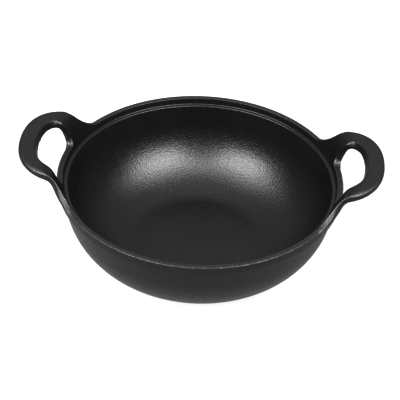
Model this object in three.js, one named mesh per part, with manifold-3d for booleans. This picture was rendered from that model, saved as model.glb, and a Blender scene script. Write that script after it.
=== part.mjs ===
// A shallow cast-iron stew pot with two loop handles.
// Millimetres, +Z up. The origin is on the table under the middle of the base.
// +X runs through the right handle.

import * as THREE from "three";
import { mergeVertices } from "three/addons/utils/BufferGeometryUtils.js";
import Module from "manifold-3d";

// Bowl
const POT_HEIGHT = 80.5; // table to the top of the rim
const WALL = 5.2; // wall and floor
const BELLY_RADIUS = 65.5; // outside arc that turns the flat base up into the wall
const WALL_FLARE = 2.1; // the wall leans out this far from the belly to the rim

// Rim
const RIM_RADIUS = 125; // outside of the rim band
const BAND_STEP = 3.4; // the band stands this far proud of the wall
const SEAT_DEPTH = 6; // rim top down to the ledge for a lid
const BAND_LAP = 2.5; // the band hangs this far below the ledge
const LEDGE_WIDTH = 3.2;
const SEAT_DRAFT = 0.8; // the lid seat opens this much towards the top
const EDGE_RADIUS = 1.2; // rounding of the cast edges

// Handles
const HANDLE_REACH = 33.6; // tip beyond the rim
const HANDLE_RISE = 27.5; // top of the tip above the rim
const HANDLE_WIDTH = 96.8; // across both arms
const NOSE_LENGTH = 36.6; // tip back to the widest place
const NOSE_SWEEP = THREE.MathUtils.degToRad(82); // the nose is elliptical this far round each side
const SPLAY = THREE.MathUtils.degToRad(51); // then the arms turn out by this much to the roots
const GRIP_WIDTH = 14; // tip in to the finger hole
const TIP_THICKNESS = 5.8;
const GRIP_SLOPE = THREE.MathUtils.degToRad(9); // the top of the grip climbs towards the tip
const UNDER_SLOPE = THREE.MathUtils.degToRad(16); // the underside climbs faster, so the grip thins
const ARM_WIDTH = 13;
const HOLE_NOSE = 16.4; // length of the round end of the finger hole
const RISER_LEAN = THREE.MathUtils.degToRad(25); // risers lean out from upright
const RISER_SKIRT = 2.5; // risers start this far down the outside of the band
const BEND_RADIUS = 15; // riser to grip, on top
const UNDER_BEND_RADIUS = 7; // riser to grip, below
const ROOT_REACH = 16.6; // roots run this far along the rim, out from the arms
const FLARE_WIDTH = 5.6; // the flare of a root turns up this far out from the arm
const FLARE_FOOT = 6; // and this far above the rim
const FLARE_HEIGHT = 30; // height above the rim at which the flare is upright
const FLARE_TUCK = 2.4; // by then it is this far inside the arm's widest place
const HOLE_FOOT_WIDTH = 6; // the foot of a riser also spreads into the finger hole
const HOLE_FOOT_HEIGHT = 9;

// Fits and facets
const CLEARANCE = 0.3; // between a piece and its seat
const CUT_MARGIN = 5; // cutting outlines run past what they cut
const TURNED_SIDES = 72;
const BELLY_STEPS = 12;
const EDGE_STEPS = 3;
const BEND_STEPS = 6;
const OUTLINE_STEPS = 14;
const WELD = 1e-4; // vertices closer than this are one

const IRON = { color: 0x2b2b2c, roughness: 0.5, metalness: 0.35 };

// Bowl and rim sizes that follow from the driving dimensions
const ledgeLevel = POT_HEIGHT - SEAT_DEPTH;
const bandBottom = ledgeLevel - BAND_LAP;
const wallRadius = RIM_RADIUS - BAND_STEP;
const mouthRadius = wallRadius - WALL;
const seatRadius = mouthRadius + LEDGE_WIDTH;
const lipRadius = seatRadius + SEAT_DRAFT;
const floorRadius = wallRadius - WALL_FLARE - BELLY_RADIUS;
const hollowRadius = BELLY_RADIUS - WALL;

// Handle sizes that follow from the driving dimensions
const tipX = RIM_RADIUS + HANDLE_REACH;
const tipTop = POT_HEIGHT + HANDLE_RISE;
const halfWidth = HANDLE_WIDTH / 2;
const halfSpan = halfWidth + ROOT_REACH;
const halfHole = halfWidth - ARM_WIDTH;
const insideX = Math.sqrt(lipRadius ** 2 - halfSpan ** 2) - CUT_MARGIN;
const skirtLevel = POT_HEIGHT - RISER_SKIRT;
const outerEdge = tipX + CUT_MARGIN;

const wasm = await Module();
wasm.setup();

const point = (x, y) => new THREE.Vector2(x, y);

// Points along an arc, both ends included.
function arc(centre, radius, start, end, steps) {
  return Array.from({ length: steps + 1 }, (_, i) => {
    const angle = start + ((end - start) * i) / steps;
    return point(centre.x + radius * Math.cos(angle), centre.y + radius * Math.sin(angle));
  });
}

// The corner between two straight stretches, rounded.
function roundedCorner(before, corner, after, radius, steps) {
  const back = before.clone().sub(corner).normalize();
  const ahead = after.clone().sub(corner).normalize();
  const halfAngle = Math.acos(THREE.MathUtils.clamp(back.dot(ahead), -1, 1)) / 2;
  const inward = back.clone().add(ahead).normalize();
  const centre = corner.clone().addScaledVector(inward, radius / Math.sin(halfAngle));
  const tangentLength = radius / Math.tan(halfAngle);
  const first = corner.clone().addScaledVector(back, tangentLength).sub(centre);
  const last = corner.clone().addScaledVector(ahead, tangentLength).sub(centre);
  const turn = Math.atan2(first.cross(last), first.dot(last));
  return arc(centre, radius, first.angle(), first.angle() + turn, steps);
}

// The angle at which a line from a point outside a circle touches the circle's lower side.
function tangentAngle(centre, radius, outside) {
  const away = outside.clone().sub(centre);
  return Math.atan2(away.y, away.x) - Math.acos(radius / away.length());
}

// Where a line leaning out from upright meets a line that climbs outwards.
function leaningMeetsClimbing(foot, lean, end, climb) {
  const run = Math.tan(lean);
  const rise = Math.tan(climb);
  const height = (end.y - foot.y - (end.x - foot.x) * rise) / (1 - run * rise);
  return point(foot.x + height * run, foot.y + height);
}

// The inside of the wall is one straight line from the belly's arc up to the edge of the ledge.
const bellyCentre = point(floorRadius, BELLY_RADIUS);
const ledgeEdge = point(mouthRadius, ledgeLevel);
const hollowEnd = tangentAngle(bellyCentre, hollowRadius, ledgeEdge);
const wallTopInside = point(mouthRadius + BAND_LAP * Math.tan(hollowEnd), bandBottom);

// A profile of radius and height, turned round the pot's axis.
function turned(profile) {
  return new THREE.LatheGeometry(profile, TURNED_SIDES).rotateX(Math.PI / 2);
}

function solidFrom(geometry) {
  const bare = geometry.index ? geometry.toNonIndexed() : geometry.clone();
  bare.deleteAttribute("normal");
  bare.deleteAttribute("uv");
  const welded = mergeVertices(bare, WELD);
  return new wasm.Manifold(
    new wasm.Mesh({
      numProp: 3,
      vertProperties: welded.attributes.position.array,
      triVerts: welded.index.array,
    }),
  );
}

function geometryFrom(solid) {
  const mesh = solid.getMesh();
  const geometry = new THREE.BufferGeometry();
  geometry.setAttribute("position", new THREE.BufferAttribute(mesh.vertProperties, 3));
  geometry.setIndex(new THREE.BufferAttribute(mesh.triVerts, 1));
  geometry.computeVertexNormals();
  return geometry;
}

// Flat base, round belly and leaning wall, level on top where the rim sits.
function bowlProfile() {
  const wallTop = point(wallRadius, bandBottom);
  const outerEnd = tangentAngle(bellyCentre, BELLY_RADIUS, wallTop);
  return [
    point(0, 0),
    ...arc(bellyCentre, BELLY_RADIUS, -Math.PI / 2, outerEnd, BELLY_STEPS),
    wallTop,
    wallTopInside,
    ...arc(bellyCentre, hollowRadius, hollowEnd, -Math.PI / 2, BELLY_STEPS),
    point(0, WALL),
  ];
}

// The band on top of the wall, its lip, the leaning wall of the lid seat and the ledge.
function rimProfile() {
  const bottomOutside = point(RIM_RADIUS, bandBottom);
  const topOutside = point(RIM_RADIUS, POT_HEIGHT);
  const topInside = point(lipRadius, POT_HEIGHT);
  const seatInside = point(seatRadius, ledgeLevel);
  return [
    wallTopInside,
    ...roundedCorner(wallTopInside, bottomOutside, topOutside, EDGE_RADIUS, EDGE_STEPS),
    ...roundedCorner(bottomOutside, topOutside, topInside, EDGE_RADIUS, EDGE_STEPS),
    ...roundedCorner(topOutside, topInside, seatInside, EDGE_RADIUS, EDGE_STEPS),
    seatInside,
    ...roundedCorner(seatInside, ledgeEdge, wallTopInside, EDGE_RADIUS, EDGE_STEPS),
    wallTopInside,
  ];
}

// The bent strip that a handle is cut from: up from the lip, then out.
function handleProfile() {
  const seatLevel = POT_HEIGHT + CLEARANCE;
  const seatOutside = RIM_RADIUS + CLEARANCE;
  const innerFoot = point(lipRadius + CLEARANCE * Math.tan(RISER_LEAN), seatLevel);
  const outerFoot = point(seatOutside, skirtLevel);
  const topEnd = point(outerEdge, tipTop + CUT_MARGIN * Math.tan(GRIP_SLOPE));
  const underEnd = point(outerEdge, tipTop - TIP_THICKNESS + CUT_MARGIN * Math.tan(UNDER_SLOPE));
  const topCorner = leaningMeetsClimbing(innerFoot, RISER_LEAN, topEnd, GRIP_SLOPE);
  const underCorner = leaningMeetsClimbing(outerFoot, RISER_LEAN, underEnd, UNDER_SLOPE);
  return [
    innerFoot,
    point(seatOutside, seatLevel),
    outerFoot,
    ...roundedCorner(outerFoot, underCorner, underEnd, UNDER_BEND_RADIUS, BEND_STEPS),
    underEnd,
    topEnd,
    ...roundedCorner(topEnd, topCorner, innerFoot, BEND_RADIUS, BEND_STEPS),
    innerFoot,
  ];
}

// A handle seen from above: an elliptical nose, then arms that splay to the roots.
function planOutline() {
  const widestX = tipX - NOSE_LENGTH;
  const turnLength = NOSE_LENGTH * Math.cos(NOSE_SWEEP);
  const turnedX = widestX - turnLength * Math.cos(SPLAY);
  const turnedY = halfWidth + turnLength * Math.sin(SPLAY);
  const splayedY = halfSpan + CUT_MARGIN;
  const splayedX = widestX - (splayedY - halfWidth) / Math.tan(SPLAY);
  const noseStart = point(widestX + turnLength, -halfWidth * Math.sin(NOSE_SWEEP));
  const outline = new THREE.Shape();
  outline.moveTo(insideX, splayedY);
  outline.lineTo(insideX, -splayedY);
  outline.lineTo(splayedX, -splayedY);
  outline.lineTo(turnedX, -turnedY);
  outline.quadraticCurveTo(widestX, -halfWidth, noseStart.x, noseStart.y);
  outline.absellipse(widestX, 0, NOSE_LENGTH, halfWidth, -NOSE_SWEEP, NOSE_SWEEP, false);
  outline.quadraticCurveTo(widestX, halfWidth, turnedX, turnedY);
  outline.lineTo(splayedX, splayedY);
  outline.closePath();
  return outline;
}

// The finger hole seen from above, open towards the rim.
function holeOutline() {
  const holeTipX = tipX - GRIP_WIDTH;
  const outline = new THREE.Shape();
  outline.absellipse(holeTipX - HOLE_NOSE, 0, HOLE_NOSE, halfHole, -Math.PI / 2, Math.PI / 2, false);
  outline.lineTo(insideX, halfHole);
  outline.lineTo(insideX, -halfHole);
  outline.closePath();
  return outline;
}

// The finger hole seen from the handle's end, narrower at the feet of the risers.
function holeEndOutline() {
  const low = skirtLevel - CUT_MARGIN;
  const high = tipTop + CUT_MARGIN;
  const footY = halfHole - HOLE_FOOT_WIDTH;
  const armZ = POT_HEIGHT + HOLE_FOOT_HEIGHT;
  const outline = new THREE.Shape();
  outline.moveTo(-footY, low);
  outline.lineTo(footY, low);
  outline.lineTo(footY, POT_HEIGHT);
  outline.quadraticCurveTo(halfHole, POT_HEIGHT, halfHole, armZ);
  outline.lineTo(halfHole, high);
  outline.lineTo(-halfHole, high);
  outline.lineTo(-halfHole, armZ);
  outline.quadraticCurveTo(-halfHole, POT_HEIGHT, -footY, POT_HEIGHT);
  outline.closePath();
  return outline;
}

// A handle seen from its end: upright arms whose feet flare out along the rim.
function endOutline() {
  const low = skirtLevel - CUT_MARGIN;
  const high = Math.max(tipTop, POT_HEIGHT + FLARE_HEIGHT) + CUT_MARGIN;
  const turnY = halfWidth + FLARE_WIDTH;
  const turnZ = POT_HEIGHT + FLARE_FOOT;
  const armY = halfWidth - FLARE_TUCK;
  const armZ = POT_HEIGHT + FLARE_HEIGHT;
  const outline = new THREE.Shape();
  outline.moveTo(-halfSpan, low);
  outline.lineTo(halfSpan, low);
  outline.lineTo(halfSpan, POT_HEIGHT);
  outline.quadraticCurveTo(turnY, turnZ, armY, armZ);
  outline.lineTo(armY, high);
  outline.lineTo(-armY, high);
  outline.lineTo(-armY, armZ);
  outline.quadraticCurveTo(-turnY, turnZ, -halfSpan, POT_HEIGHT);
  outline.closePath();
  return outline;
}

function extruded(outline, depth) {
  return new THREE.ExtrudeGeometry(outline, { depth, bevelEnabled: false, curveSegments: OUTLINE_STEPS });
}

// An outline drawn from above, standing from below the risers to above the grip.
function standing(outline) {
  const low = skirtLevel - CUT_MARGIN;
  return extruded(outline, tipTop + CUT_MARGIN - low).translate(0, 0, low);
}

// An outline drawn across the handle, running out along +X from the pot's axis.
function runningOut(outline) {
  const across = new THREE.Matrix4().makeBasis(
    new THREE.Vector3(0, 1, 0),
    new THREE.Vector3(0, 0, 1),
    new THREE.Vector3(1, 0, 0),
  );
  return extruded(outline, outerEdge).applyMatrix4(across);
}

// A right-hand handle, cut from its turned strip by its outlines from above and from the end.
function handleGeometry() {
  const strip = solidFrom(turned(handleProfile()));
  const fromAbove = solidFrom(standing(planOutline()));
  const fromEnd = solidFrom(runningOut(endOutline()));
  const hole = solidFrom(standing(holeOutline())).intersect(solidFrom(runningOut(holeEndOutline())));
  return geometryFrom(strip.intersect(fromAbove).intersect(fromEnd).subtract(hole));
}

function castPiece(name, geometry) {
  const piece = new THREE.Mesh(geometry, new THREE.MeshStandardMaterial(IRON));
  piece.name = name;
  return piece;
}

const pot = new THREE.Group();
pot.add(castPiece("bowl", turned(bowlProfile())));
pot.add(castPiece("rim_ring", turned(rimProfile())));
const handle = handleGeometry();
pot.add(castPiece("handle_right", handle));
const opposite = castPiece("handle_left", handle);
opposite.rotation.z = Math.PI;
pot.add(opposite);

export default pot;
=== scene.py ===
"""A shallow cast-iron stew pot with two loop handles, modelled over its CAD frame in a white studio.

Metres, +Z up. The origin is on the floor under the middle of the base. +X runs through the right handle.
"""

import math

import bpy
from mathutils import Matrix, Vector


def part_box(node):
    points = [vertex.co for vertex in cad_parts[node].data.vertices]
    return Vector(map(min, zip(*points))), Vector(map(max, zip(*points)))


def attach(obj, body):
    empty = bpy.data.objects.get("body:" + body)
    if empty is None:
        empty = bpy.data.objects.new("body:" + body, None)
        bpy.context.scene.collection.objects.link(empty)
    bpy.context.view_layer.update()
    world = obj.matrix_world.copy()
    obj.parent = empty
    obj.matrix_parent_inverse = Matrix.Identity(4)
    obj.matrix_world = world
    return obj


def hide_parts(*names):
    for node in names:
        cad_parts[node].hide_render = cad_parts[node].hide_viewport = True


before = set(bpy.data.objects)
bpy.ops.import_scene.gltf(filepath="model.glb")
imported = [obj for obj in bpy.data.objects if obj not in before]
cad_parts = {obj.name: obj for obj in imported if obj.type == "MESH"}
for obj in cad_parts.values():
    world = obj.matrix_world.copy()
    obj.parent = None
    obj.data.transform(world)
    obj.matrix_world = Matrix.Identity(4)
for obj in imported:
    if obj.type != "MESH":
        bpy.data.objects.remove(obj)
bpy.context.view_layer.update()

MM = 0.001

# Sizes that the frame gives
rim_low, rim_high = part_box("rim_ring")
handle_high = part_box("handle_right")[1]
RIM_RADIUS = rim_high.x
RIM_TOP = rim_high.z
BAND_BOTTOM = rim_low.z
TIP_X = handle_high.x
TIP_TOP = handle_high.z

# Bowl and rim
WALL = 5.2 * MM
BELLY_RADIUS = 65.5 * MM  # outside arc from the flat base up into the wall
WALL_FLARE = 2.1 * MM  # the wall leans out this far from the belly to the rim
BAND_STEP = 3.4 * MM  # the rim band stands this far proud of the wall
SEAT_DEPTH = 6 * MM  # rim top down to the ledge for a lid
LEDGE_WIDTH = 3.2 * MM
SEAT_DRAFT = 0.8 * MM  # the lid seat opens this much towards the top
EDGE_RADIUS = 1.2 * MM  # rounding of the cast edges
LIP_EDGE_RADIUS = 0.5 * MM  # the lip is dressed flat, so its edges are crisper
LEDGE_EDGE_RADIUS = 0.9 * MM  # rounding from the ledge into the bowl
SEAT_FILLET = 0.8 * MM  # hollow corner between the ledge and the seat's wall

# Handles
HANDLE_WIDTH = 97.6 * MM
NOSE_LENGTH = 36.6 * MM  # tip back to the widest place
PLAN_FULLNESS = 2.25  # 2 makes the nose and the finger hole elliptical, more makes them squarer
NOSE_SWEEP = 82  # degrees: the nose is rounded this far round each side
SPLAY = 51  # degrees: then the arms turn out to the roots
GRIP_WIDTH = 14 * MM  # tip in to the finger hole
TIP_THICKNESS = 5.4 * MM
GRIP_SLOPE = 5.5  # degrees: the top of the grip climbs towards the tip
UNDER_SLOPE = 12  # degrees: the underside climbs faster, so the grip thins
GRIP_EDGE_RADIUS = 3.2 * MM  # rounding of the upper outer edge of the grip
ARM_WIDTH = 15.4 * MM
HOLE_NOSE = 16.4 * MM  # length of the round end of the finger hole
HOLE_ALLOWANCE = 1.1 * MM  # smoothing the edges opens the finger hole by this much
HOLE_DRAFT = 1.8 * MM  # the finger hole narrows by this much towards the grip's underside
HOLE_FOOT_WIDTH = 7 * MM  # the foot of a riser also spreads into the finger hole
HOLE_FOOT_HEIGHT = 11 * MM
RISER_LEAN = 25  # degrees from upright
RISER_SKIRT = 2.5 * MM  # risers start this far down the outside of the band
BEND_RADIUS = 18 * MM  # riser to grip, on top
UNDER_BEND_RADIUS = 7 * MM
ROOT_REACH = 16.6 * MM  # roots run this far along the rim, out from the arms
ROOT_SWELL = 0.9 * MM  # the casting stands this far proud of the band between the roots
FLARE_FADE = 4.5 * MM  # a root fades out this far past its reach, level with the rim
FLARE_TURN_WIDTH = 2.8 * MM  # the flare of a root turns up towards a point this far out from the arm
FLARE_TURN_HEIGHT = 12 * MM  # and this far above the rim
FLARE_HEIGHT = 30 * MM  # the flare ends this far above the rim
FLARE_TUCK = 2.4 * MM  # and this far in from the arm's widest place
LIP_SECTOR = 38  # degrees each side of a handle: the stretch of lip that a handle is blended into
LIP_DEPTH = 5 * MM  # that stretch reaches this far down inside the rim
SKIN_SINK = 0.08 * MM  # a handle's skin slips this far under the rim where it fades out

# Where a handle's surface is worked: each pair is where the work is none and where it is full
ROUNDING_REACH = (RIM_RADIUS - 18 * MM, RIM_RADIUS + 2 * MM)  # along X, for the grip's edge
DRAFT_REACH = (RIM_RADIUS - 2 * MM, RIM_RADIUS + 8 * MM)  # along X, for the wall of the finger hole
DRAFT_FACING = (-0.1, 0.9)  # how squarely that wall faces into the hole
DRAFT_DEPTH = (0.1, 0.8)  # share of the grip's thickness
SWELL_FACING = (0.2, 0.7)  # how squarely the surface faces out from the pot's axis
SWELL_END = (2, -4)  # degrees along the rim, past the end of a root
SWELL_BOTTOM = (RIM_TOP - 4.5 * MM, RIM_TOP - 1.5 * MM)
SWELL_TOP = (RIM_TOP + 14 * MM, RIM_TOP + 4 * MM)
SINK_END = (LIP_SECTOR - 5, LIP_SECTOR - 1)  # degrees along the rim
SINK_BOTTOM = (RIM_TOP - 2 * MM, RIM_TOP - 4 * MM)
PLAN_MIDDLE = 0.5  # the inner half of a handle's plan has no outer edge to round

# Fineness of the turned shapes, outlines and blends
TURN_STEPS = 288
BELLY_STEPS = 32
EDGE_STEPS = 6
BEND_STEPS = 16
OUTLINE_STEPS = 48
CUT_MARGIN = 5 * MM  # cutting outlines run past what they cut
WELD = 0.002 * MM
BLEND_GRID = 0.6 * MM  # fineness of the mesh that blends a handle into the lip
BLEND_ROUNDS = 30  # smoothing of that mesh
LAST_ROUNDS = 14  # and after the edges are rounded and drafted
SMOOTH_SHARE = 0.5  # how far each round moves a point towards its neighbours
SMOOTH_ANGLE = 40  # degrees: sharper edges than this stay crisp

# Finish of the iron
SAND_GRAIN = 1.6 * MM  # real moulding sand is about 0.3 mm: drawn coarser, so that it shows
GRAIN_HEIGHT = 0.22 * MM
SKIN_WAVE = 7 * MM  # unevenness that the mould leaves
WAVE_HEIGHT = 0.12 * MM
OIL_PATCH = 30 * MM  # patches where the baked oil is a little lighter
RUB_MARK = 5 * MM  # a lid and a ladle rub the lip and ledge unevenly
EDGE_CHIP_AND_HIGHLIGHT = 2.5 * MM  # spots along the lip's outer edge: worn lighter by knocks, and painted lighter still as a painted highlight
IRON_BLACK = "#101010"
PATCH_BLACK = "#151414"
RUBBED_GREY = "#1c1b1b"
# the lip's outer edge is worn to this grey in spots; the grey is also a painted highlight along that edge
WORN_AND_HIGHLIGHT_GREY = "#363534"
GRAIN_ROUGHNESS = (0.28, 0.41)  # in the hollows of the grain, and on top of it
OUTSIDE_ROUGHNESS = 0.08  # the outside is rougher by this much
WORN_ROUGHNESS = -0.15  # and a worn edge is smoother
OIL_IOR = 1.5

# Where the finish changes: each pair is where the change is none and where it is full
GRAIN_CONTRAST = (0.3, 0.7)  # of the pattern's values
RUB_CONTRAST = (0.35, 0.65)
CHIP_AND_HIGHLIGHT_CONTRAST = (0.4, 0.65)
LEAST_RUBBING = 0.5  # the lip and ledge are rubbed at least this much everywhere
RUB_UPWARD = (0.4, 0.8)  # Z of the surface's normal
RUB_TOP = (RIM_TOP + 2 * MM, RIM_TOP + 0.3 * MM)
# where the lip's outer edge is painted lighter: worn spots, and a painted highlight along the edge
WORN_AND_HIGHLIGHT_RADIUS = (RIM_RADIUS - 1.1 * MM, RIM_RADIUS - 0.5 * MM)
WORN_AND_HIGHLIGHT_BOTTOM = (RIM_TOP - 0.9 * MM, RIM_TOP - 0.5 * MM)
WORN_AND_HIGHLIGHT_TOP = (RIM_TOP + 0.9 * MM, RIM_TOP + 0.3 * MM)
OUTSIDE_FACING = (15 * MM, 60 * MM)  # distance from the axis times how squarely the surface faces out

# Studio
FLOOR_SIZE = 12.0
FLOOR_GREY = "#616161"
FLOOR_ROUGHNESS = 0.9
FLOOR_SPECULAR = 0.1
FLOOR_GLOW = (0.84, 0.6)  # left and right: the right of the belly gets less light from below
FLOOR_GLOW_X = (0.02, 0.22)
ROOM_GLOW = (0.15, 1.3)  # dim near the horizon, bright overhead
ROOM_GLOW_Z = (0.15, 0.5)  # Z of the direction that is looked in
PRINT_GAMMA = 0.62  # a contrasty print: blacks stay deep beside a white floor
WHITE = "#ffffff"
LIGHT_DISTANCE = 1.4
LIGHTS = (
    # name, degrees to the right of the front, degrees up, width, height and brightness
    ("right_softbox", 48, 43, 1.05, 0.85, 16.8),
    ("left_softbox", -46, 41, 1.05, 0.85, 17.2),
    ("right_reflector", 84, 57, 0.5, 0.9, 7.1),
    ("left_reflector", -84, 57, 0.5, 0.9, 5.8),
    ("overhead_panel", 0, 66, 1.2, 0.6, 6.2),
    ("back_panel", 180, 66, 0.6, 0.6, 1.3),
)

# Camera
CAMERA_AZIMUTH = 2.8  # degrees, to the right of the front
CAMERA_ELEVATION = 37.0
CAMERA_DISTANCE = 1.1  # from the middle of the rim
CAMERA_AIM = Vector((0.6 * MM, 0, 51.9 * MM))
CAMERA_ROLL = 2.45  # degrees
CAMERA_LENS = 112.6  # millimetres, on a 36 mm frame


def slope(degrees):
    return math.tan(math.radians(degrees))


def point(x, y):
    return Vector((x, y))


# Sizes that follow
ledge_level = RIM_TOP - SEAT_DEPTH
lip_bottom = RIM_TOP - LIP_DEPTH
wall_radius = RIM_RADIUS - BAND_STEP
mouth_radius = wall_radius - WALL
seat_radius = mouth_radius + LEDGE_WIDTH
lip_radius = seat_radius + SEAT_DRAFT
floor_radius = wall_radius - WALL_FLARE - BELLY_RADIUS
widest_x = TIP_X - NOSE_LENGTH
half_width = HANDLE_WIDTH / 2
half_span = half_width + ROOT_REACH
half_hole = half_width - ARM_WIDTH - HOLE_ALLOWANCE
skirt_level = RIM_TOP - RISER_SKIRT
grip_top = TIP_TOP + GRIP_EDGE_RADIUS / 2 * slope(GRIP_SLOPE)  # before its edge is rounded
cut_bottom = skirt_level - CUT_MARGIN - LIP_DEPTH
cut_top = TIP_TOP + CUT_MARGIN
outer_edge = TIP_X + CUT_MARGIN
inside_x = math.sqrt(lip_radius**2 - half_span**2) - 2 * CUT_MARGIN
rub_bottom = (ledge_level - 1.2 * MM, ledge_level - 0.3 * MM)


# Curves


def arc(centre, radius, start, end, steps):
    """Points on an arc, both ends included. The angles are in degrees."""
    turns = [math.radians(start + (end - start) * i / steps) for i in range(steps + 1)]
    return [centre + radius * point(math.cos(turn), math.sin(turn)) for turn in turns]


def bow(start, control, end, steps):
    """Points on a curve that leaves start and reaches end in the directions of control."""
    shares = [i / steps for i in range(steps + 1)]
    return [start * (1 - s) ** 2 + control * 2 * s * (1 - s) + end * s**2 for s in shares]


def sweep_up(start, leaving, reaching, end, steps):
    """Points on a curve that leaves start towards one point and reaches end from another."""
    first = bow(start, leaving, reaching, steps)
    second = bow(leaving, reaching, end, steps)
    return [a.lerp(b, i / steps) for i, (a, b) in enumerate(zip(first, second))]


def rounded(before, corner, after, radius, steps=EDGE_STEPS):
    """The corner between two straight stretches, as an arc that touches both."""
    back = (before - corner).normalized()
    ahead = (after - corner).normalized()
    half = back.angle(ahead) / 2
    centre = corner + (back + ahead).normalized() * radius / math.sin(half)
    first = corner + back * radius / math.tan(half) - centre
    last = corner + ahead * radius / math.tan(half) - centre
    start = math.degrees(math.atan2(first.y, first.x))
    turn = math.degrees(math.atan2(first.cross(last), first.dot(last)))
    return arc(centre, radius, start, start + turn, steps)


def full_round(length, width, angle):
    """A point on a quarter of an ellipse with full shoulders."""
    power = 2 / PLAN_FULLNESS
    return point(length * math.cos(angle) ** power, width * math.sin(angle) ** power)


def touching_angle(centre, radius, outside):
    """The angle, in degrees, at which a line from a point outside a circle touches its lower side."""
    away = outside - centre
    return math.degrees(math.atan2(away.y, away.x) - math.acos(radius / away.length))


def leaning_meets_climbing(foot, lean, end, climb):
    """Where a line that leans out from upright meets a line that climbs outwards."""
    height = (end.y - foot.y - (end.x - foot.x) * slope(climb)) / (1 - slope(lean) * slope(climb))
    return point(foot.x + height * slope(lean), foot.y + height)


# Modelling


def draw(name, points):
    """A line through these points, extruded from one vertex and left in edit mode, all selected."""
    bpy.ops.object.select_all(action="DESELECT")
    bpy.ops.mesh.primitive_plane_add(size=MM, location=points[0])
    piece = bpy.context.object
    piece.name = name
    piece.data.name = name
    bpy.ops.object.transform_apply(location=True, rotation=False, scale=False)
    bpy.ops.object.mode_set(mode="EDIT")
    bpy.ops.mesh.merge(type="CENTER")
    for here, there in zip(points, points[1:]):
        bpy.ops.mesh.extrude_vertices_move(TRANSFORM_OT_translate={"value": there - here})
    bpy.ops.mesh.select_all(action="SELECT")
    bpy.ops.mesh.remove_doubles(threshold=WELD)
    return piece


def close_piece():
    """Merges what meets, caps open ends, points the faces out and leaves edit mode."""
    bpy.ops.mesh.select_all(action="SELECT")
    bpy.ops.mesh.remove_doubles(threshold=WELD)
    bpy.ops.mesh.fill_holes(sides=0)
    bpy.ops.mesh.select_all(action="SELECT")
    bpy.ops.mesh.normals_make_consistent(inside=False)
    bpy.ops.object.mode_set(mode="OBJECT")


def turn_section(name, section, sweep=360):
    """A section of radius and height, spun clockwise round the pot's axis. A part turn is centred on +X."""
    start = math.radians(sweep / 2)
    piece = draw(name, [Vector((p.x * math.cos(start), p.x * math.sin(start), p.y)) for p in section])
    steps = round(TURN_STEPS * sweep / 360)
    bpy.ops.mesh.spin(steps=steps, angle=math.radians(sweep), center=(0, 0, 0), axis=(0, 0, 1))
    close_piece()
    return piece


def extrude_outline(name, outline, along):
    """A closed outline, extruded along a vector."""
    piece = draw(name, outline + outline[:1])
    bpy.ops.mesh.edge_face_add()
    bpy.ops.mesh.extrude_region_move(TRANSFORM_OT_translate={"value": along})
    close_piece()
    return piece


def stand_outline(name, outline):
    """An outline seen from above, standing from below the risers to above the grip."""
    points = [Vector((p.x, p.y, cut_bottom)) for p in outline]
    return extrude_outline(name, points, (0, 0, cut_top - cut_bottom))


def run_outline_out(name, outline):
    """An outline seen from a handle's end, running out along +X from the pot's axis."""
    points = [Vector((0, p.x, p.y)) for p in outline]
    return extrude_outline(name, points, (outer_edge, 0, 0))


def apply_modifier(piece, kind, **settings):
    """Puts a modifier with these settings on a piece and applies it."""
    bpy.context.view_layer.objects.active = piece
    modifier = piece.modifiers.new(kind.lower(), kind)
    for setting, value in settings.items():
        setattr(modifier, setting, value)
    bpy.ops.object.modifier_apply(modifier=modifier.name)


def combine(piece, tool, operation):
    apply_modifier(piece, "BOOLEAN", operation=operation, object=tool, solver="EXACT")
    bpy.data.objects.remove(tool)


def smooth(piece, rounds):
    apply_modifier(piece, "SMOOTH", factor=SMOOTH_SHARE, iterations=rounds)


def push(piece, distance, weight):
    """Moves each point of a piece along its normal, by a distance times the point's weight."""
    group = piece.vertex_groups.new(name=weight.__name__)
    for vertex in piece.data.vertices:
        group.add([vertex.index], weight(vertex), "REPLACE")
    apply_modifier(
        piece, "DISPLACE", direction="NORMAL", strength=distance, mid_level=0, vertex_group=group.name
    )
    piece.vertex_groups.clear()


def select_only(piece):
    bpy.ops.object.select_all(action="DESELECT")
    piece.select_set(True)
    bpy.context.view_layer.objects.active = piece


# Bowl and rim sections

belly_centre = point(floor_radius, BELLY_RADIUS)
ledge_edge = point(mouth_radius, ledge_level)
seat_foot = point(seat_radius, ledge_level)
hollow_end = touching_angle(belly_centre, BELLY_RADIUS - WALL, ledge_edge)
wall_top_inside = point(mouth_radius + (ledge_level - BAND_BOTTOM) * slope(hollow_end), BAND_BOTTOM)


def bowl_section():
    """Flat base, round belly and leaning wall, level on top where the rim sits."""
    wall_top = point(wall_radius, BAND_BOTTOM)
    outer_end = touching_angle(belly_centre, BELLY_RADIUS, wall_top)
    return [
        point(0, 0),
        *arc(belly_centre, BELLY_RADIUS, -90, outer_end, BELLY_STEPS),
        wall_top,
        wall_top_inside,
        *arc(belly_centre, BELLY_RADIUS - WALL, hollow_end, -90, BELLY_STEPS),
        point(0, WALL),
    ]


def lip_section(bottom):
    """The two edges of the lip, on a band that comes up from this level."""
    top_inside = point(lip_radius, RIM_TOP)
    top_outside = point(RIM_RADIUS, RIM_TOP)
    return [
        *rounded(point(RIM_RADIUS, bottom), top_outside, top_inside, LIP_EDGE_RADIUS),
        *rounded(top_outside, top_inside, seat_foot, LIP_EDGE_RADIUS),
    ]


def rim_section():
    """The band on the wall, its lip, the leaning wall of the lid seat and the ledge."""
    bottom_outside = point(RIM_RADIUS, BAND_BOTTOM)
    return [
        wall_top_inside,
        *rounded(wall_top_inside, bottom_outside, point(RIM_RADIUS, RIM_TOP), EDGE_RADIUS),
        *lip_section(BAND_BOTTOM),
        *rounded(point(lip_radius, RIM_TOP), seat_foot, ledge_edge, SEAT_FILLET),
        *rounded(seat_foot, ledge_edge, wall_top_inside, LEDGE_EDGE_RADIUS),
        wall_top_inside,
    ]


# Handle sections and outlines

seat_wall = point(lip_radius - LIP_DEPTH * SEAT_DRAFT / SEAT_DEPTH, lip_bottom)


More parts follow.
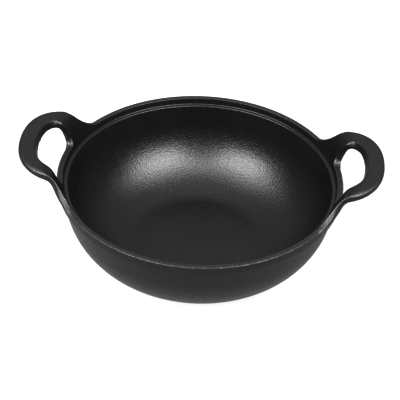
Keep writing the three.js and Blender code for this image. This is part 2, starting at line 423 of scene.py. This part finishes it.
def strip_section():
    """The bent strip that a handle is cut from: out of the lip, up and then out."""
    inner_foot = point(lip_radius, RIM_TOP)
    outer_foot = point(RIM_RADIUS - (skirt_level - lip_bottom) * slope(RISER_LEAN), lip_bottom)
    top_end = point(outer_edge, grip_top + CUT_MARGIN * slope(GRIP_SLOPE))
    under_end = point(outer_edge, grip_top - TIP_THICKNESS + CUT_MARGIN * slope(UNDER_SLOPE))
    top_corner = leaning_meets_climbing(inner_foot, RISER_LEAN, top_end, GRIP_SLOPE)
    under_corner = leaning_meets_climbing(outer_foot, RISER_LEAN, under_end, UNDER_SLOPE)
    return [
        seat_wall,
        outer_foot,
        *rounded(outer_foot, under_corner, under_end, UNDER_BEND_RADIUS, BEND_STEPS),
        under_end,
        top_end,
        *rounded(top_end, top_corner, inner_foot, BEND_RADIUS, BEND_STEPS),
        inner_foot,
        seat_wall,
    ]


def lip_block_section():
    """The stretch of lip that a handle grows out of."""
    return [seat_wall, point(RIM_RADIUS, lip_bottom), *lip_section(lip_bottom), seat_wall]


def plan_outline():
    """A handle seen from above: a full round nose, then arms that splay to the roots."""
    sweep = math.radians(NOSE_SWEEP)
    turn_length = NOSE_LENGTH * math.cos(sweep)
    splay = math.radians(SPLAY)
    turned_in = point(widest_x - turn_length * math.cos(splay), half_width + turn_length * math.sin(splay))
    splayed_y = half_span + FLARE_FADE + CUT_MARGIN
    splayed_x = widest_x - (splayed_y - half_width) / math.tan(splay)
    sweeps = [sweep * i / OUTLINE_STEPS for i in range(OUTLINE_STEPS + 1)]
    nose = [point(widest_x, 0) + full_round(NOSE_LENGTH, half_width, a) for a in sweeps]
    half = [
        *nose[:-1],
        *bow(nose[-1], point(widest_x, half_width), turned_in, EDGE_STEPS),
        point(splayed_x, splayed_y),
        point(inside_x, splayed_y),
    ]
    return half + [point(p.x, -p.y) for p in reversed(half[1:])]


def hole_outline():
    """The finger hole seen from above, open towards the rim."""
    centre_x = TIP_X - GRIP_WIDTH - HOLE_NOSE - HOLE_ALLOWANCE
    sweeps = [math.radians(90 * i / OUTLINE_STEPS) for i in range(OUTLINE_STEPS)]
    nose = [point(centre_x, 0) + full_round(HOLE_NOSE, half_hole, a) for a in sweeps]
    half = [*nose, point(centre_x, half_hole), point(inside_x, half_hole)]
    return half + [point(p.x, -p.y) for p in reversed(half[1:])]


def hole_end_outline():
    """The finger hole seen from the handle's end, narrower at the feet of the risers."""
    foot = point(half_hole - HOLE_FOOT_WIDTH, RIM_TOP)
    arm = point(half_hole, RIM_TOP + HOLE_FOOT_HEIGHT)
    half = [
        point(foot.x, cut_bottom),
        *bow(foot, point(half_hole, RIM_TOP), arm, BEND_STEPS),
        point(half_hole, cut_top),
    ]
    return half + [point(-p.x, p.y) for p in reversed(half)]


def end_outline():
    """A handle seen from its end: upright arms whose feet flare out along the rim."""
    foot = point(half_span + FLARE_FADE, RIM_TOP)
    level = point(half_span - FLARE_FADE, RIM_TOP)
    climbing = point(half_width + FLARE_TURN_WIDTH, RIM_TOP + FLARE_TURN_HEIGHT)
    arm = point(half_width - FLARE_TUCK, RIM_TOP + FLARE_HEIGHT)
    half = [
        point(foot.x, cut_bottom),
        *sweep_up(foot, level, climbing, arm, OUTLINE_STEPS),
        point(arm.x, arm.y + CUT_MARGIN),
    ]
    return half + [point(-p.x, p.y) for p in reversed(half)]


# Working a handle's surface


def ramp(value, start, end):
    """0 at start and before it, 1 at end and past it, smooth between them, whichever way they run."""
    share = min(max((value - start) / (end - start), 0), 1)
    return share * share * (3 - 2 * share)


def angle_along_rim(place):
    return abs(math.degrees(math.atan2(place.y, place.x)))


def depth_under_grip_top(place):
    return grip_top - (TIP_X - place.x) * slope(GRIP_SLOPE) - place.z


def depth_in_grip(place):
    """How far a point lies under the top of the grip, as a share of the grip's thickness."""
    thickness = TIP_THICKNESS + (TIP_X - place.x) * (slope(UNDER_SLOPE) - slope(GRIP_SLOPE))
    return depth_under_grip_top(place) / thickness


def round_grip_edge(piece):
    """Rounds the upper outer edge of the grip and arms: points past the rounding move in to it."""
    steepness = PLAN_FULLNESS - 1
    for vertex in piece.data.vertices:
        place = vertex.co
        ahead = max(place.x - widest_x, 0) / NOSE_LENGTH
        aside = abs(place.y) / half_width
        out = (ahead**PLAN_FULLNESS + aside**PLAN_FULLNESS) ** (1 / PLAN_FULLNESS)
        if out < PLAN_MIDDLE:
            continue
        growth = point((ahead / out) ** steepness / NOSE_LENGTH, (aside / out) ** steepness / half_width)
        outward = point(growth.x, math.copysign(growth.y, place.y)).normalized()
        radius = GRIP_EDGE_RADIUS * ramp(place.x, *ROUNDING_REACH)
        offset = point(radius - (1 - out) / growth.length, radius - depth_under_grip_top(place))
        if min(offset) > 0 and offset.length > radius:
            move = offset * (radius / offset.length - 1)
            vertex.co = place + Vector((outward.x * move.x, outward.y * move.x, move.y))


def hole_drafting(vertex):
    """Grows down the wall of the finger hole, from the top of the grip to its underside."""
    place = vertex.co
    from_hole = point(max(place.x - RIM_RADIUS, 0), place.y).normalized()
    into_hole = -vertex.normal.to_2d().dot(from_hole)
    past_riser = ramp(place.x, *DRAFT_REACH)
    return ramp(into_hole, *DRAFT_FACING) * ramp(depth_in_grip(place), *DRAFT_DEPTH) * past_riser


def root_swelling(vertex):
    """Full on the outside of the lip from root to root, and up the feet of the risers."""
    place = vertex.co
    outward = vertex.normal.to_2d().dot(place.to_2d().normalized())
    root_end = math.degrees(math.asin(half_span / RIM_RADIUS))
    between_roots = ramp(angle_along_rim(place) - root_end, *SWELL_END)
    at_lip = ramp(place.z, *SWELL_BOTTOM) * ramp(place.z, *SWELL_TOP)
    return ramp(outward, *SWELL_FACING) * between_roots * at_lip


def skin_sinking(vertex):
    """Full where a handle's skin ends: along the rim, and down the inside and outside of the lip."""
    ends = ramp(angle_along_rim(vertex.co), *SINK_END)
    below = ramp(vertex.co.z, *SINK_BOTTOM)
    return max(ends, below)


def make_handle(name):
    """A right-hand handle, cut from its turned strip, blended into the lip and rounded as a casting is."""
    handle = turn_section(name, strip_section(), 2 * LIP_SECTOR)
    combine(handle, stand_outline("plan_cutter", plan_outline()), "INTERSECT")
    combine(handle, run_outline_out("end_cutter", end_outline()), "INTERSECT")
    hole = stand_outline("hole_cutter", hole_outline())
    combine(hole, run_outline_out("hole_end_cutter", hole_end_outline()), "INTERSECT")
    combine(handle, hole, "DIFFERENCE")
    combine(handle, turn_section("lip_block", lip_block_section(), 2 * LIP_SECTOR), "UNION")
    apply_modifier(handle, "REMESH", mode="VOXEL", voxel_size=BLEND_GRID)
    smooth(handle, BLEND_ROUNDS)
    round_grip_edge(handle)
    push(handle, HOLE_DRAFT, hole_drafting)
    smooth(handle, LAST_ROUNDS)
    push(handle, ROOT_SWELL, root_swelling)
    push(handle, -SKIN_SINK, skin_sinking)
    return handle


# Materials


def linear(hex_colour):
    """A linear RGBA colour from an sRGB hex value."""
    parts = [int(hex_colour[i : i + 2], 16) / 255 for i in (1, 3, 5)]
    return (*[p / 12.92 if p <= 0.04045 else ((p + 0.055) / 1.055) ** 2.4 for p in parts], 1)


def add_node(tree, kind, links=None, inputs=None, **settings):
    """Adds a node with its settings and values, and links its inputs to other nodes' outputs."""
    node = tree.nodes.new(kind)
    for setting, value in settings.items():
        setattr(node, setting, value)
    for socket, value in (inputs or {}).items():
        node.inputs[socket].default_value = value
    for socket, output in (links or {}).items():
        tree.links.new(output, node.inputs[socket])
    return node


def new_material(name):
    material = bpy.data.materials.new(name)
    material.use_nodes = True
    material.node_tree.nodes.clear()
    return material, material.node_tree


def pattern(tree, place, size, detail, roughness):
    """A cloudy pattern of values from about 0 to 1, with grains of this size."""
    inputs = {"Scale": 1 / size, "Detail": detail, "Roughness": roughness}
    return add_node(tree, "ShaderNodeTexNoise", {"Vector": place}, inputs).outputs["Fac"]


def spread(tree, value, start, end, at_start=0.0, at_end=1.0):
    """A value that goes from at_start to at_end while another goes from start to end."""
    inputs = {"From Min": start, "From Max": end, "To Min": at_start, "To Max": at_end}
    return add_node(tree, "ShaderNodeMapRange", {"Value": value}, inputs).outputs[0]


def narrowed(tree, mask, *limits):
    """A mask kept within limits: each is a value, where the mask is gone and where it is full."""
    for limit in limits:
        factors = {0: mask, 1: spread(tree, *limit)}
        mask = add_node(tree, "ShaderNodeMath", factors, operation="MULTIPLY").outputs[0]
    return mask


def tinted(tree, colour, share, tint):
    """A colour that turns to a tint by a share."""
    links = {"Factor": share, "A": colour}
    return add_node(tree, "ShaderNodeMix", links, {"B": linear(tint)}, data_type="RGBA").outputs[2]


def added(tree, first, second):
    return add_node(tree, "ShaderNodeMath", {0: first, 1: second}, operation="ADD").outputs[0]


def bumped(tree, height, distance, **links):
    """The surface's normal, tilted by a pattern that stands this far out of it."""
    inputs = {"Strength": 1.0, "Distance": distance}
    return add_node(tree, "ShaderNodeBump", {"Height": height, **links}, inputs).outputs["Normal"]


def seasoned_iron():
    """Sand-cast iron, baked with oil until it is black: satin, with the sand's grain in every highlight.

    The oil covers the metal, so the iron shines as a dark varnish does. The lip and ledge are rubbed
    greyer, and the lip's outer edge is worn lighter and smoother in places; that lighter grey is also a
    painted highlight along the edge.
    """
    material, tree = new_material("seasoned_sand_cast_iron")
    place = add_node(tree, "ShaderNodeTexCoord").outputs["Object"]
    level = add_node(tree, "ShaderNodeSeparateXYZ", {"Vector": place}).outputs["Z"]
    facing = add_node(tree, "ShaderNodeNewGeometry").outputs["Normal"]
    upward = add_node(tree, "ShaderNodeSeparateXYZ", {"Vector": facing}).outputs["Z"]
    from_axis = add_node(
        tree, "ShaderNodeVectorMath", {0: place}, {1: (1, 1, 0)}, operation="MULTIPLY"
    ).outputs["Vector"]
    radius = add_node(tree, "ShaderNodeVectorMath", {0: from_axis}, operation="LENGTH").outputs["Value"]
    outward = add_node(
        tree, "ShaderNodeVectorMath", {0: from_axis, 1: facing}, operation="DOT_PRODUCT"
    ).outputs["Value"]

    patches = pattern(tree, place, OIL_PATCH, detail=2.0, roughness=0.5)
    black = add_node(
        tree,
        "ShaderNodeMix",
        {"Factor": patches},
        {"A": linear(IRON_BLACK), "B": linear(PATCH_BLACK)},
        data_type="RGBA",
    ).outputs[2]
    rub_marks = pattern(tree, place, RUB_MARK, detail=3.0, roughness=0.6)
    rubbing = spread(tree, rub_marks, *RUB_CONTRAST, LEAST_RUBBING, 1.0)
    rubbing = narrowed(tree, rubbing, (level, *rub_bottom), (level, *RUB_TOP), (upward, *RUB_UPWARD))
    # lighter spots on the lip's outer edge: partly worn iron, partly a painted highlight
    chips_and_highlight = pattern(tree, place, EDGE_CHIP_AND_HIGHLIGHT, detail=2.0, roughness=0.6)
    wear_and_highlight = spread(tree, chips_and_highlight, *CHIP_AND_HIGHLIGHT_CONTRAST)
    wear_and_highlight = narrowed(tree, wear_and_highlight, (radius, *WORN_AND_HIGHLIGHT_RADIUS), (level, *WORN_AND_HIGHLIGHT_BOTTOM), (level, *WORN_AND_HIGHLIGHT_TOP))
    colour = tinted(tree, tinted(tree, black, rubbing, RUBBED_GREY), wear_and_highlight, WORN_AND_HIGHLIGHT_GREY)

    sand = pattern(tree, place, SAND_GRAIN, detail=1.0, roughness=0.5)
    grain_roughness = spread(tree, sand, *GRAIN_CONTRAST, *GRAIN_ROUGHNESS)
    rougher = spread(tree, outward, *OUTSIDE_FACING, 0.0, OUTSIDE_ROUGHNESS)
    smoother = spread(tree, wear_and_highlight, 0.0, 1.0, 0.0, WORN_ROUGHNESS)
    roughness = added(tree, added(tree, grain_roughness, rougher), smoother)

    skin = pattern(tree, place, SKIN_WAVE, detail=3.0, roughness=0.55)
    waves = bumped(tree, skin, WAVE_HEIGHT)
    grain = bumped(tree, sand, GRAIN_HEIGHT, Normal=waves)
    shader = add_node(
        tree,
        "ShaderNodeBsdfPrincipled",
        {"Base Color": colour, "Roughness": roughness, "Normal": grain},
        {"Metallic": 0.0, "IOR": OIL_IOR},
    )
    add_node(tree, "ShaderNodeOutputMaterial", {"Surface": shader.outputs["BSDF"]})
    return material


def light_table():
    """Matte acrylic lit from beneath: under bright lights it looks white and hardly shows a shadow."""
    material, tree = new_material("lit_matte_acrylic")
    place = add_node(tree, "ShaderNodeTexCoord").outputs["Object"]
    across = add_node(tree, "ShaderNodeSeparateXYZ", {"Vector": place}).outputs["X"]
    shader = add_node(
        tree,
        "ShaderNodeBsdfPrincipled",
        {"Emission Strength": spread(tree, across, *FLOOR_GLOW_X, *FLOOR_GLOW)},
        {
            "Base Color": linear(FLOOR_GREY),
            "Roughness": FLOOR_ROUGHNESS,
            "Specular IOR Level": FLOOR_SPECULAR,
            "Emission Color": linear(WHITE),
        },
    )
    add_node(tree, "ShaderNodeOutputMaterial", {"Surface": shader.outputs["BSDF"]})
    return material


# Pieces

iron = seasoned_iron()
bowl = turn_section("pot_bowl", bowl_section())
rim = turn_section("pot_rim", rim_section())
right_handle = make_handle("right_loop_handle")
select_only(right_handle)
bpy.ops.object.duplicate()
left_handle = bpy.context.object
left_handle.name = "left_loop_handle"
bpy.ops.transform.rotate(value=math.pi, orient_axis="Z", center_override=(0, 0, 0))
bpy.ops.object.transform_apply(location=True, rotation=True, scale=True)

for piece, node in (
    (bowl, "bowl"),
    (rim, "rim_ring"),
    (right_handle, "handle_right"),
    (left_handle, "handle_left"),
):
    select_only(piece)
    bpy.ops.object.shade_smooth_by_angle(angle=math.radians(SMOOTH_ANGLE))
    piece.data.materials.clear()
    piece.data.materials.append(iron)
    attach(piece, "root")
    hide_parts(node)

# Studio

bpy.ops.object.select_all(action="DESELECT")
bpy.ops.mesh.primitive_plane_add(size=FLOOR_SIZE, location=(0, 0, 0))
floor = bpy.context.object
floor.name = "studio_floor"
floor.data.materials.append(light_table())


def around(azimuth, elevation, distance):
    """A point round the pot: azimuth 0 is the front, towards -Y, and grows to the right."""
    a = math.radians(azimuth)
    e = math.radians(elevation)
    return distance * Vector((math.sin(a) * math.cos(e), -math.cos(a) * math.cos(e), math.sin(e)))


def softbox(name, azimuth, elevation, width, height, brightness):
    """A soft light panel that faces the pot and looks equally bright whatever its size."""
    light = bpy.data.lights.new(name, "AREA")
    light.shape = "RECTANGLE"
    light.size = width
    light.size_y = height
    light.energy = brightness * math.pi * width * height
    lamp = bpy.data.objects.new(name, light)
    lamp.location = around(azimuth, elevation, LIGHT_DISTANCE)
    lamp.rotation_mode = "QUATERNION"
    lamp.rotation_quaternion = lamp.location.to_track_quat("Z", "Y")
    bpy.context.scene.collection.objects.link(lamp)


for light_values in LIGHTS:
    softbox(*light_values)

world = bpy.data.worlds.new("studio_room")
world.use_nodes = True
background = world.node_tree.nodes["Background"]
direction = add_node(world.node_tree, "ShaderNodeTexCoord").outputs["Generated"]
direction_z = add_node(world.node_tree, "ShaderNodeSeparateXYZ", {"Vector": direction}).outputs["Z"]
room_glow = spread(world.node_tree, direction_z, *ROOM_GLOW_Z, *ROOM_GLOW)
world.node_tree.links.new(room_glow, background.inputs["Strength"])
background.inputs["Color"].default_value = linear(WHITE)
bpy.context.scene.world = world
bpy.context.scene.view_settings.view_transform = "Standard"
bpy.context.scene.view_settings.gamma = PRINT_GAMMA

# Camera

camera = bpy.data.objects.new("camera", bpy.data.cameras.new("camera"))
camera.data.lens = CAMERA_LENS
camera.location = Vector((0, 0, RIM_TOP)) + around(CAMERA_AZIMUTH, CAMERA_ELEVATION, CAMERA_DISTANCE)
camera.rotation_mode = "QUATERNION"
aim = (CAMERA_AIM - camera.location).to_track_quat("-Z", "Y")
roll = Matrix.Rotation(math.radians(CAMERA_ROLL), 3, "Z").to_quaternion()
camera.rotation_quaternion = aim @ roll
bpy.context.scene.collection.objects.link(camera)
bpy.context.scene.camera = camera
